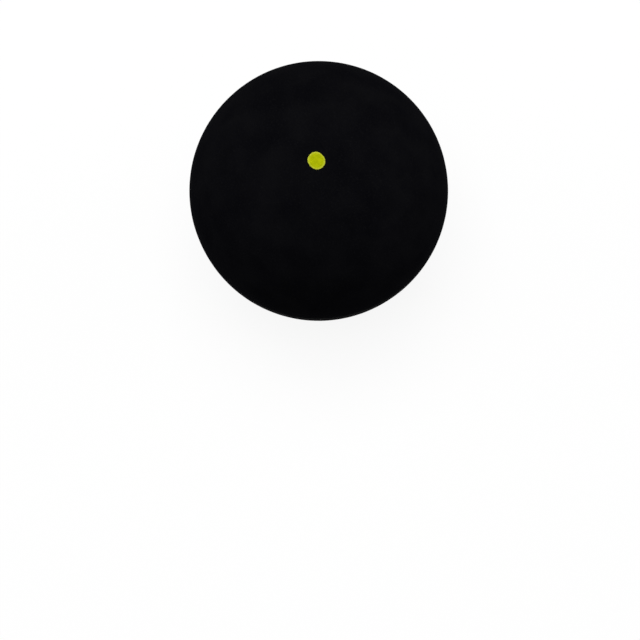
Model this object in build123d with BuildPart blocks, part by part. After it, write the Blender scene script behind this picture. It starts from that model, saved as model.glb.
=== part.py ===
from build123d import *
from math import asin, degrees, sqrt
import os

# Squash ball: two moulded rubber half shells, cemented rim to rim into a sealed hollow ball,
# with one round dot printed on the crown of the upper half.
# The origin is the centre of the ball. The seam lies in the XY plane and the dot faces +Z.
# All lengths are in millimetres.

# Ball
ball_diameter = 40.0
wall_thickness = 5.0

# Seam: the buffed rims and the cement that is cured between them
cement_thickness = 0.15
cement_setback = 0.10
rim_bevel = 0.12
bead_climb = 0.45
bead_rise = 0.35

# Printed dot
dot_diameter = 2.60
ink_thickness = 0.05
ink_edge_share = 0.6

# Sizes that follow from the ones above
ball_radius = ball_diameter / 2
cavity_radius = ball_radius - wall_thickness
rim_height = cement_thickness / 2

os.makedirs("parts", exist_ok=True)

# Upper half shell: a thick rubber bowl that leaves the mould with a ball's outer and inner
# curves. Its rim is buffed flat for the cement, and the outer edge of the rim is bevelled, so
# that a fine groove marks the seam on the finished ball.
with BuildPart() as upper_half_shell:
    with BuildSketch(Plane.XZ):
        Circle(ball_radius)
        Circle(cavity_radius, mode=Mode.SUBTRACT)
        with Locations((0, rim_height)):
            Rectangle(ball_radius, ball_radius, align=Align.MIN, mode=Mode.INTERSECT)
    revolve(axis=Axis.Z)
    rim_edges = edges().group_by(Axis.Z)[0]
    outer_rim_edge = rim_edges.sort_by(SortBy.RADIUS)[-1]
    chamfer(outer_rim_edge, length=rim_bevel)
upper_half_shell.part.label = "upper_half_shell"
export_step(upper_half_shell.part, "parts/upper_half_shell.step")

# Lower half shell: comes from the same mould as the upper one, turned over.
with BuildPart() as lower_half_shell:
    mirror(upper_half_shell.part, about=Plane.XY)
lower_half_shell.part.label = "lower_half_shell"
export_step(lower_half_shell.part, "parts/lower_half_shell.step")

# Seam bond: the ring of cured rubber cement. A thin film fills the gap between the two flat
# rims and stops just short of the ball's surface. What the closing press squeezed inwards
# stands on the cavity wall as a low round bead.
cement_outer_radius = sqrt(ball_radius**2 - rim_height**2) - cement_setback
bead_height = rim_height + bead_climb
film_angle = degrees(asin(rim_height / cavity_radius))
bead_angle = degrees(asin(bead_height / cavity_radius))

with BuildPart() as seam_bond:
    with BuildSketch(Plane.XZ):
        with BuildLine():
            upper_seat = CenterArc((0, 0), cavity_radius, film_angle, bead_angle - film_angle)
            lower_seat = CenterArc((0, 0), cavity_radius, -film_angle, film_angle - bead_angle)
            bead_crest = (cavity_radius - bead_rise, 0)
            ThreePointArc(upper_seat @ 1, bead_crest, lower_seat @ 1)
            film_top = (cement_outer_radius, rim_height)
            film_bottom = (cement_outer_radius, -rim_height)
            Polyline(upper_seat @ 0, film_top, film_bottom, lower_seat @ 0)
        make_face()
    revolve(axis=Axis.Z)
seam_bond.part.label = "seam_bond"
export_step(seam_bond.part, "parts/seam_bond.step")

# Marking dot: one spot of ink that tells the ball's speed. It follows the curve of the crown
# and stands proud by the thickness of the ink, with a softened edge.
dot_angle = degrees(asin(dot_diameter / ball_diameter))
crown_angle = 90

with BuildPart() as marking_dot:
    with BuildSketch(Plane.XZ):
        with BuildLine():
            ink_base = CenterArc((0, 0), ball_radius, crown_angle, -dot_angle)
            ink_top = CenterArc((0, 0), ball_radius + ink_thickness, crown_angle, -dot_angle)
            Line(ink_base @ 0, ink_top @ 0)
            Line(ink_base @ 1, ink_top @ 1)
        make_face()
        ink_edge = vertices().sort_by(Axis.X)[-1]
        fillet(ink_edge, radius=ink_thickness * ink_edge_share)
    revolve(axis=Axis.Z)
marking_dot.part.label = "marking_dot"
export_step(marking_dot.part, "parts/marking_dot.step")
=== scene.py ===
import math
import random

import bpy
import numpy as np
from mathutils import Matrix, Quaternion, Vector, noise


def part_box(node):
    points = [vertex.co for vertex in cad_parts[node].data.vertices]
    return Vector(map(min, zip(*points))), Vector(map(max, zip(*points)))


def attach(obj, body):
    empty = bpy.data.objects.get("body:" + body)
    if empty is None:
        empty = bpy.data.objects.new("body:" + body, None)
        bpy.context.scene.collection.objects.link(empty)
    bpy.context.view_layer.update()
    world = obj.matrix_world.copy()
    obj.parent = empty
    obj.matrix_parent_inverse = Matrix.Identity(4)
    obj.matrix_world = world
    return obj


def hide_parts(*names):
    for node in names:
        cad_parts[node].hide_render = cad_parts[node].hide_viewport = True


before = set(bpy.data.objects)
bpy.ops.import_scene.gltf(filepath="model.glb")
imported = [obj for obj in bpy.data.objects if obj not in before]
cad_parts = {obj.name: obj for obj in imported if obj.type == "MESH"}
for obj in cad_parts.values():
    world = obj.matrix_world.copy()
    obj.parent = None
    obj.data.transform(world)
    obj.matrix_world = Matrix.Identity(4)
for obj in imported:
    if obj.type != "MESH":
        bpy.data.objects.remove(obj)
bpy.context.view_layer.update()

# Half shells: two thick bowls of black butyl rubber, compression-moulded in one mould, so the
# outside has the mould's fine matte grain. The rims are buffed flat and cemented together, and
# the closed ball is then ground along the seam, which leaves a smoother belt with faint lines.
mm = 0.001
shell_sides = {"upper_half_shell": 1, "lower_half_shell": -1}
upper_points = [vertex.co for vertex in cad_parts["upper_half_shell"].data.vertices]
ball_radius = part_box("upper_half_shell")[1].z
cavity_radius = min(point.length for point in upper_points)
rim_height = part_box("upper_half_shell")[0].z
rim_slack = 0.01 * mm
rim_radius = max(point.xy.length for point in upper_points if point.z < rim_height + rim_slack)
bevel = math.sqrt(ball_radius**2 - rim_height**2) - rim_radius

# Height, width and seed of each layer of the moulded surface: slow swells, the rubber's orange
# peel and the pebbles of the mould's grain
swell = (0.030 * mm, 15 * mm, 1)
peel = (0.006 * mm, 1.4 * mm, 2)
pebble = (0.004 * mm, 0.55 * mm, 3)

# A few shallow pits, left by trapped air
pit_count, pit_depth, pit_radius_range = 24, 0.018 * mm, (0.25 * mm, 0.5 * mm)
pit_seed = 41
draw = random.Random(pit_seed)
pits = []
for _ in range(pit_count):
    pit_aim = Vector([draw.gauss(0, 1) for _ in range(3)]).normalized()
    pits.append((pit_aim * ball_radius, draw.uniform(*pit_radius_range)))

# The ground belt, whose edge wanders where the wheel ran out, and the uneven lip of the groove
belt_half_width, belt_fade, belt_depth = 0.9 * mm, 0.45 * mm, 0.012 * mm
belt_edge = (0.30 * mm, 5 * mm, 4)
peel_on_belt, pebble_on_belt = 0.4, 0.2
grinding_line_width, grinding_line_length = 0.45 * mm, 5 * mm
grinding = (0.004 * mm, grinding_line_width, 5)
lip = (0.030 * mm, 2.5 * mm, 6)

# The mesh: cells along each side of a cap's grid, coarser where it is hidden, and the rings that
# round the lip over
outer_cells = 288
hidden_coarseness = 4
cavity_cells = outer_cells // hidden_coarseness
shoulder_shares = ((0.35, 0.55), (0.75, 0.18))
rim_land, rim_margin = 0.02 * mm, 1.0 * mm


def cap_directions(cells, reach):
    """Unit vectors of a square grid that is wrapped over a cap round +Z, down to an angle."""
    directions = []
    for row in range(cells + 1):
        for column in range(cells + 1):
            across = 2 * column / cells - 1
            along = 2 * row / cells - 1
            if abs(across) >= abs(along):
                spread = across
                turn = math.pi / 4 * (along / across if across else 0)
            else:
                spread = along
                turn = math.pi / 2 - math.pi / 4 * (across / along)
            slope = 2 * math.asin(spread * math.sin(reach / 2))
            ring = math.sin(slope)
            directions.append((ring * math.cos(turn), ring * math.sin(turn), math.cos(slope)))
    return np.array(directions)


def cap_faces(cells, start):
    """The grid's squares, seen from outside the cap. Each one splits along its way outwards."""
    faces = []
    for row in range(cells):
        for column in range(cells):
            corner = start + row * (cells + 1) + column
            face = (corner, corner + 1, corner + cells + 2, corner + cells + 1)
            splits_outwards = (row < cells / 2) == (column < cells / 2)
            faces.append(face if splits_outwards else face[1:] + face[:1])
    return faces


def flip(faces):
    """The same faces, seen from the other side."""
    return [face[:1] + face[:0:-1] for face in faces]


def cap_edge(cells, start):
    """The grid's outer points in order, anticlockwise as seen from +Z."""
    wide = cells + 1
    bottom = [start + i for i in range(cells)]
    right = [start + i * wide + cells for i in range(cells)]
    top = [start + cells * wide + cells - i for i in range(cells)]
    left = [start + (cells - i) * wide for i in range(cells)]
    return bottom + right + top + left


def bridge(upper, lower):
    """Faces between two loops. The upper has a whole number of points to each lower one."""
    ratio = len(upper) // len(lower)
    faces = []
    for i in range(len(lower)):
        here, after = lower[i], lower[(i + 1) % len(lower)]
        fan = [upper[(i * ratio + k) % len(upper)] for k in range(ratio + 1)]
        if ratio == 1:
            faces.append((fan[0], here, after, fan[1]))
            continue
        middle = ratio // 2
        faces += [(fan[k], here, fan[k + 1]) for k in range(middle)]
        faces.append((fan[middle], here, after))
        faces += [(fan[k], after, fan[k + 1]) for k in range(middle, ratio)]
    return faces


def wave(points, height, width, seed, squeeze=(1, 1, 1)):
    """Smooth bumps of about the height and width asked, as an offset at each point."""
    offset = Vector((seed, seed, seed)) * math.e
    stretch = Vector(squeeze) / width
    return height * np.array([noise.noise(Vector(p) * stretch + offset) for p in points.tolist()])


def fade(values, start, length):
    """1 below the start, 0 past the length after it, and smooth between."""
    share = np.clip((values - start) / length, 0, 1)
    return 1 - share * share * (3 - 2 * share)


def ground_share(skin):
    """1 on the belt that was ground along the seam, 0 on the rubber as it left the mould."""
    return fade(np.abs(skin[:, 2]) + wave(skin, *belt_edge), belt_half_width, belt_fade)


def relief(directions):
    """How far the rubber's surface stands off the true ball in each direction."""
    skin = directions * ball_radius
    ground = ground_share(skin)
    line_squeeze = grinding_line_width / grinding_line_length
    heights = wave(skin, *swell) - belt_depth * ground
    heights += wave(skin, *peel) * (1 - (1 - peel_on_belt) * ground)
    heights += wave(skin, *pebble) * (1 - (1 - pebble_on_belt) * ground)
    heights += wave(skin, *grinding, (line_squeeze, line_squeeze, 1)) * ground
    for pit_place, pit_radius in pits:
        away = np.linalg.norm(skin - np.array(pit_place), axis=1)
        heights -= pit_depth * fade(away, 0, pit_radius)
    return heights


def solid(name, points, faces, finish, node):
    """A smooth-shaded closed piece that takes the place of its CAD node."""
    mesh = bpy.data.meshes.new(name)
    mesh.from_pydata(points, [], faces)
    mesh.shade_smooth()
    mesh.materials.append(finish.material)
    piece = bpy.data.objects.new(name, mesh)
    bpy.context.scene.collection.objects.link(piece)
    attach(piece, "root")
    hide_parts(node)
    return piece


def mark(piece, name, values):
    """Keeps a number at each point of a piece, for its finish to read."""
    attribute = piece.data.attributes.new(name, "FLOAT", "POINT")
    attribute.data.foreach_set("value", np.array(values, np.float32))


class Flow:
    """One value in a node tree. Sums and products of it add Math nodes."""

    def __init__(self, nodes, socket):
        self.nodes = nodes
        self.socket = socket

    def math(self, operation, first, second):
        return self.nodes.node("ShaderNodeMath", {"operation": operation}, {0: first, 1: second})

    def __add__(self, other):
        return self.math("ADD", self, other)

    def __sub__(self, other):
        return self.math("SUBTRACT", self, other)

    def __rsub__(self, other):
        return self.math("SUBTRACT", other, self)

    def __mul__(self, other):
        return self.math("MULTIPLY", self, other)

    __radd__ = __add__
    __rmul__ = __mul__


class Nodes:
    """The node tree of a finish, or of the air round the ball."""

    def __init__(self, tree):
        self.tree = tree

    def feed(self, node, sockets):
        for name, value in sockets.items():
            if isinstance(value, Flow):
                self.tree.links.new(value.socket, node.inputs[name])
            else:
                node.inputs[name].default_value = value

    def node(self, kind, settings, sockets, output=0):
        made = self.tree.nodes.new(kind)
        for name, value in settings.items():
            setattr(made, name, value)
        self.feed(made, sockets)
        return Flow(self, made.outputs[output])


class Finish(Nodes):
    """A material with one Principled surface."""

    # A Mix node has several sockets of each name. These are the ones of its colours
    mix_share, mix_first, mix_second, mix_colour = 0, 6, 7, 2
    detail = 3.0

    def __init__(self, name):
        self.material = bpy.data.materials.new(name)
        self.material.use_nodes = True
        super().__init__(self.material.node_tree)
        self.surface = self.tree.nodes["Principled BSDF"]

    def place(self):
        return self.node("ShaderNodeTexCoord", {}, {}, "Object")

    def read(self, name):
        return self.node("ShaderNodeAttribute", {"attribute_name": name}, {}, "Fac")

    def grain(self, width):
        sockets = {"Vector": self.place(), "Scale": 1 / width, "Detail": self.detail}
        return self.node("ShaderNodeTexNoise", {}, sockets)

    def streaks(self, length, width):
        scale = (1 / length, 1 / length, 1 / width)
        place = self.node("ShaderNodeMapping", {}, {"Vector": self.place(), "Scale": scale})
        sockets = {"Vector": place, "Scale": 1.0, "Detail": self.detail}
        return self.node("ShaderNodeTexNoise", {}, sockets)

    def step(self, value, limits):
        sockets = {"Value": value, "From Min": limits[0], "From Max": limits[1]}
        return self.node("ShaderNodeMapRange", {"interpolation_type": "SMOOTHSTEP"}, sockets)

    def blend(self, share, first, second):
        sockets = {self.mix_share: share, self.mix_first: first, self.mix_second: second}
        return self.node("ShaderNodeMix", {"data_type": "RGBA"}, sockets, self.mix_colour)

    def bump(self, height, depth, strength):
        sockets = {"Height": height, "Distance": depth, "Strength": strength}
        return self.node("ShaderNodeBump", {}, sockets)


# The rubber's finish. It is close to black and has almost no sheen. A faint bloom clouds it, and
# a painted highlight lightens the crests of its grain. The belt is paler, with fine lines along it.
rubber_black = (0.0023, 0.0023, 0.0031, 1)
rubber_bloom = (0.0039, 0.0039, 0.0047, 1)
# The paler colour painted on the grain's crests as a highlight
rubber_crest_highlight = (0.0075, 0.0075, 0.0084, 1)
ground_black = (0.0055, 0.0055, 0.0060, 1)
ground_line = (0.0110, 0.0110, 0.0115, 1)
grain_width, bloom_width, belt_line_width = 0.22 * mm, 4.5 * mm, 0.16 * mm
bloom_range, crest_highlight_range, belt_line_range = (0.25, 0.8), (0.5, 0.8), (0.4, 0.75)
crest_highlight_share, grain_on_belt, belt_line_share = 0.5, 0.3, 0.6
rubber_roughness, bloom_roughness, ground_polish = 0.85, 0.12, 0.25
rubber_sheen = 0.0015
rubber_bump_depth, rubber_bump_strength = 0.02 * mm, 0.6

rubber = Finish("moulded_black_rubber")
ground = rubber.read("ground_share")
grain = rubber.grain(grain_width)
bloom = rubber.grain(bloom_width)
belt_lines = rubber.streaks(grinding_line_length, belt_line_width)
moulded_tone = rubber.blend(rubber.step(bloom, bloom_range), rubber_black, rubber_bloom)
# Painted highlight: the crests of the grain, where the bump rises, get the paler colour
painted_crest_highlight = rubber.step(grain, crest_highlight_range) * crest_highlight_share
moulded_tone = rubber.blend(painted_crest_highlight, moulded_tone, rubber_crest_highlight)
ground_tone = rubber.blend(rubber.step(belt_lines, belt_line_range), ground_black, ground_line)
moulded_relief = grain * (1 - (1 - grain_on_belt) * ground)
rubber_relief = moulded_relief + belt_lines * ground * belt_line_share
rubber.feed(rubber.surface, {
    "Base Color": rubber.blend(ground, moulded_tone, ground_tone),
    "Roughness": rubber_roughness + bloom_roughness * bloom - ground_polish * ground,
    "Specular IOR Level": rubber_sheen,
    "Normal": rubber.bump(rubber_relief, rubber_bump_depth, rubber_bump_strength),
})

lip_angle = math.acos((rim_height + bevel) / ball_radius)
cavity_angle = math.acos(rim_height / cavity_radius)
edge = cap_edge(outer_cells, 0)

# The lower shell is built like the upper one and turned over about the X axis
for shell, side in shell_sides.items():
    turned = np.array([1, side, side])
    directions = cap_directions(outer_cells, lip_angle) * turned
    skin = directions * (ball_radius + relief(directions))[:, None]

    # The skin turns in over the seam's bevel, runs flat across the rim and meets the cavity
    edge_radii = np.linalg.norm(skin[edge, :2], axis=1)
    spokes = skin[edge, :2] / edge_radii[:, None]
    slope = bevel + wave(skin[edge], *lip)
    rings = []
    for inward_share, upward_share in shoulder_shares:
        rings.append((edge_radii - inward_share * slope, rim_height + upward_share * slope))
    for ring_radius in (rim_radius - rim_land, ball_radius - rim_margin):
        rings.append((np.full(len(edge), ring_radius), np.full(len(edge), rim_height)))

    parts = [skin]
    loops = [edge]
    for ring_radii, ring_heights in rings:
        ring_start = sum(map(len, parts))
        loops.append(list(range(ring_start, ring_start + len(edge))))
        parts.append(np.column_stack([spokes * ring_radii[:, None], ring_heights * side]))
    cavity_start = sum(map(len, parts))
    loops.append(cap_edge(cavity_cells, cavity_start))
    parts.append(cap_directions(cavity_cells, cavity_angle) * cavity_radius * turned)

    faces = cap_faces(outer_cells, 0)
    for upper, lower in zip(loops, loops[1:]):
        faces += bridge(upper, lower)
    faces += flip(cap_faces(cavity_cells, cavity_start))
    points = np.vstack(parts)
    name = shell.replace("half", "rubber")
    piece = solid(name, points.tolist(), faces, rubber, shell)
    ground_values = np.ones(len(points))
    ground_values[: len(skin)] = ground_share(directions * ball_radius)
    ground_values[cavity_start:] = 0
    mark(piece, "ground_share", ground_values)

# Seam bond: the ring of cured rubber cement. It fills the gap between the rims, ends in a
# slightly uneven satin line at the bottom of the seam groove, and stands on the cavity wall as
# a low bead where the closing press squeezed it inwards.
bond_points = [vertex.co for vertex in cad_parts["seam_bond"].data.vertices]
film_radius = max(point.xy.length for point in bond_points)
crest_radius = min(point.xy.length for point in bond_points)
bead_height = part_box("seam_bond")[1].z
bond_turns = 720
bead_steps = 12
film_wander = (0.035 * mm, 1.8 * mm, 7)
bead_wander = (0.060 * mm, 3.0 * mm, 8)
meniscus = 0.03 * mm
cement_dark = (0.0040, 0.0038, 0.0036, 1)
cement_pale = (0.0100, 0.0092, 0.0082, 1)
cement_cloud_width = 0.5 * mm
cement_roughness, cloud_roughness = 0.5, 0.2
cement_sheen = 0.02
cement_bump_depth, cement_bump_strength = 0.02 * mm, 0.5

cement = Finish("cured_rubber_cement")
cement_cloud = cement.grain(cement_cloud_width)
cement.feed(cement.surface, {
    "Base Color": cement.blend(cement_cloud, cement_dark, cement_pale),
    "Roughness": cement_roughness + cloud_roughness * cement_cloud,
    "Specular IOR Level": cement_sheen,
    "Normal": cement.bump(cement_cloud, cement_bump_depth, cement_bump_strength),
})

# The ring's section: each point's radius and height, and how much of the film's and of the
# bead's unevenness it takes
bead_edge = math.asin(bead_height / cavity_radius)
film_edge = math.asin(rim_height / cavity_radius)
section = []
for step in range(bead_steps + 1):
    height_share = 2 * step / bead_steps - 1
    bulge = 1 - height_share**2
    seat = cavity_radius * math.cos(height_share * bead_edge)
    rise = cavity_radius * math.sin(height_share * bead_edge)
    section.append((seat - (cavity_radius - crest_radius) * bulge, rise, 0, bulge))
film_start = cavity_radius * math.cos(film_edge)
section.append((film_start, rim_height, 0, 0))
section.append((film_radius, rim_height, 1, 0))
section.append((film_radius - meniscus, 0, 1, 0))
section.append((film_radius, -rim_height, 1, 0))
section.append((film_start, -rim_height, 0, 0))

turns = np.arange(bond_turns) * 2 * math.pi / bond_turns
circle = np.column_stack([np.cos(turns), np.sin(turns), np.zeros(bond_turns)])
film_shift = wave(circle * film_radius, *film_wander)
bead_shift = wave(circle * crest_radius, *bead_wander)
points = []
for spoke, film_offset, bead_offset in zip(circle, film_shift, bead_shift):
    for radius, rise, film_part, bead_part in section:
        reach = radius + film_part * film_offset + bead_part * bead_offset
        points.append((spoke[0] * reach, spoke[1] * reach, rise))
faces = []
for i in range(bond_turns):
    here, after = i * len(section), (i + 1) % bond_turns * len(section)
    for k in range(len(section)):
        up = (k + 1) % len(section)
        faces.append((here + k, here + up, after + up, after + k))
solid("cement_ring", points, faces, cement, "seam_bond")

# Marking dot: one spot of yellow-green ink, pad-printed on the crown. The ink is thin enough to
# follow the rubber's grain, a little thicker and paler at its rim, and its outline is slightly
# oval and uneven.
dot_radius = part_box("marking_dot")[1].x
ink_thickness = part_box("marking_dot")[1].z - ball_radius
dot_cells = 96
under_cells = dot_cells // hidden_coarseness
print_share = 0.952
oval_share, oval_turn = 0.043, math.radians(-55)
edge_wander = (0.045 * mm, 0.6 * mm, 112)
edge_round_share = 0.07
rim_bead_height, rim_bead_place, rim_bead_width = 0.010 * mm, 0.88, 0.07
pale_rim_start, pale_rim_width = 0.76, 0.16
ink_pebble = (0.006 * mm, 0.16 * mm, 9)
foot_sink, under_sink = 0.030 * mm, 0.032 * mm
ink_deep = (0.328, 0.373, 0.0006, 1)
ink_body = (0.412, 0.456, 0.0016, 1)
ink_rim = (0.48, 0.51, 0.040, 1)
speckle_width, ink_cloud_width = 0.12 * mm, 0.6 * mm
speckle_share, ink_tone_range = 0.5, (0.45, 1.05)
least_rim_share = 0.3
ink_roughness, speckle_roughness = 0.55, 0.15
ink_sheen = 0.015
ink_bump_depth, ink_bump_strength = 0.01 * mm, 0.6

ink = Finish("yellow_green_ink")
speckle = ink.grain(speckle_width)
ink_cloud = ink.grain(ink_cloud_width)
ink_body_share = ink.step(ink_cloud + speckle_share * speckle, ink_tone_range)
ink_tone = ink.blend(ink_body_share, ink_deep, ink_body)
ink_rim_share = ink.read("rim_share") * (least_rim_share + ink_cloud)
ink.feed(ink.surface, {
    "Base Color": ink.blend(ink_rim_share, ink_tone, ink_rim),
    "Roughness": ink_roughness + speckle_roughness * speckle,
    "Specular IOR Level": ink_sheen,
    "Normal": ink.bump(speckle, ink_bump_depth, ink_bump_strength),
})


def printed_grid(cells):
    """A grid's directions over the spot, and how far out each is: 0 at its middle, 1 at the rim."""
    grid = cap_directions(cells, math.asin(dot_radius / ball_radius))
    rim_place = np.linalg.norm(grid[:, :2], axis=1) * ball_radius / dot_radius
    turn = np.arctan2(grid[:, 1], grid[:, 0])
    rim = np.column_stack([np.cos(turn), np.sin(turn), np.zeros(len(turn))]) * dot_radius
    outline = print_share + oval_share * np.cos(2 * (turn - oval_turn))
    outline += wave(rim, *edge_wander) / dot_radius
    grid[:, :2] *= (1 + (outline - 1) * rim_place**2)[:, None]
    return grid / np.linalg.norm(grid, axis=1)[:, None], rim_place


top, rim_place = printed_grid(dot_cells)
rubber_height = ball_radius + relief(top)
ink_rise = ink_thickness * (1 - np.clip((rim_place - 1) / edge_round_share + 1, 0, 1) ** 2)
ink_rise += rim_bead_height * fade(np.abs(rim_place - rim_bead_place), 0, rim_bead_width)
ink_rise += wave(top * ball_radius, *ink_pebble)
under, _ = printed_grid(under_cells)
under_height = ball_radius + relief(under) - under_sink

# The ink's foot and its underside lie just under the rubber's skin
dot_edge = cap_edge(dot_cells, 0)
foot_start = len(top)
under_start = foot_start + len(dot_edge)
foot_loop = list(range(foot_start, under_start))
points = np.vstack([
    top * (rubber_height + ink_rise)[:, None],
    top[dot_edge] * (rubber_height[dot_edge] - foot_sink)[:, None],
    under * under_height[:, None],
])
faces = cap_faces(dot_cells, 0)
faces += bridge(dot_edge, foot_loop)
faces += bridge(foot_loop, cap_edge(under_cells, under_start))
faces += flip(cap_faces(under_cells, under_start))
dot = solid("printed_dot", points.tolist(), faces, ink, "marking_dot")
rim_values = np.zeros(len(points))
rim_values[:foot_start] = 1 - fade(rim_place, pale_rim_start, pale_rim_width)
rim_values[foot_start:under_start] = 1
mark(dot, "rim_share", rim_values)

# Floor: a plain pale surface under the ball's lowest point. It looks white and throws back
# little light. The ball's shade on it is nearly full where the ball touches it, faint beside the
# ball, and gone a short way off.
floor_half_width = 3.0
floor_grey = (0.55, 0.55, 0.55, 1)
floor_roughness, floor_sheen = 0.9, 0.0
white = (1, 1, 1, 1)
contact_share, contact_range = 0.85, (2 * mm, 16 * mm)
shade_share, shade_range = 0.11, (60 * mm, 300 * mm)
see_rays = ("Is Camera Ray", "Is Glossy Ray", "Is Transmission Ray")

floor_corners = [(-1, -1), (1, -1), (1, 1), (-1, 1)]
floor_points = [(x * floor_half_width, y * floor_half_width, 0) for x, y in floor_corners]
floor_mesh = bpy.data.meshes.new("floor")
floor_mesh.from_pydata(floor_points, [], [(0, 1, 2, 3)])
floor = bpy.data.objects.new("floor", floor_mesh)
floor.location.z = -ball_radius
bpy.context.scene.collection.objects.link(floor)


def seen_share(nodes):
    """1 where the camera, a gloss or glass sees the surroundings, 0 where they only give light."""
    return sum(nodes.node("ShaderNodeLightPath", {}, {}, ray) for ray in see_rays)


pale = Finish("pale_floor")
pale.feed(pale.surface, {
    "Base Color": floor_grey,
    "Roughness": floor_roughness,
    "Specular IOR Level": floor_sheen,
})
plain = Flow(pale, pale.surface.outputs[0])
glow = pale.node("ShaderNodeEmission", {}, {"Color": white, "Strength": 1.0})
shade = pale.node("ShaderNodeBsdfDiffuse", {}, {"Color": white})
far = pale.node("ShaderNodeVectorMath", {"operation": "LENGTH"}, {0: pale.place()}, "Value")
wide_shade = shade_share * (1 - pale.step(far, shade_range))
contact_shade = (contact_share - shade_share) * (1 - pale.step(far, contact_range))
all_shade = wide_shade + contact_shade
seen_floor = pale.node("ShaderNodeMixShader", {}, {0: all_shade, 1: glow, 2: shade})
look = pale.node("ShaderNodeMixShader", {}, {0: seen_share(pale), 1: plain, 2: seen_floor})
pale.feed(pale.tree.nodes["Material Output"], {"Surface": look})
floor_mesh.materials.append(pale.material)

# Light: a plain soft studio. One wide lamp hangs above and a little behind the ball, two weak
# ones stand low on its left and right, and the room around is dim but looks white.
room_level = 0.22
lamps = {
    "overhead_softbox": {"place": (-0.03, 0.12, 0.53), "width": 0.42, "power": 2.68},
    "left_softbox": {"place": (-0.55, 0.10, 0.12), "width": 0.30, "power": 0.65},
    "right_softbox": {"place": (0.57, 0.12, 0.07), "width": 0.30, "power": 1.35},
}
for name, lamp in lamps.items():
    light = bpy.data.lights.new(name, "AREA")
    light.size = lamp["width"]
    light.energy = lamp["power"]
    holder = bpy.data.objects.new(name, light)
    holder.location = lamp["place"]
    holder.rotation_euler = (-Vector(lamp["place"])).to_track_quat("-Z", "Y").to_euler()
    bpy.context.scene.collection.objects.link(holder)

world = bpy.data.worlds.new("studio")
world.use_nodes = True
bpy.context.scene.world = world
air = Nodes(world.node_tree)
strength = room_level + (1 - room_level) * seen_share(air)
air.feed(air.tree.nodes["Background"], {"Color": white, "Strength": strength})

# Camera: almost straight above the ball, and rolled a little. The dot shows just above the middle
# of the ball, and the ball stands above the middle of the picture.
camera_place = Vector((3.425, -45.644, 202.315)) * mm
camera_aim = Vector((0.185, -20.027, 0)) * mm
camera_roll = math.radians(-7.27)
camera_data = bpy.data.cameras.new("camera")
camera_data.lens = 74.76
camera_data.sensor_width = 36
camera = bpy.data.objects.new("camera", camera_data)
camera.location = camera_place
camera.rotation_mode = "QUATERNION"
level_turn = (camera_aim - camera_place).to_track_quat("-Z", "Y")
camera.rotation_quaternion = level_turn @ Quaternion((0, 0, 1), camera_roll)
bpy.context.scene.collection.objects.link(camera)
bpy.context.scene.camera = camera
bpy.context.scene.view_settings.view_transform = "Standard"
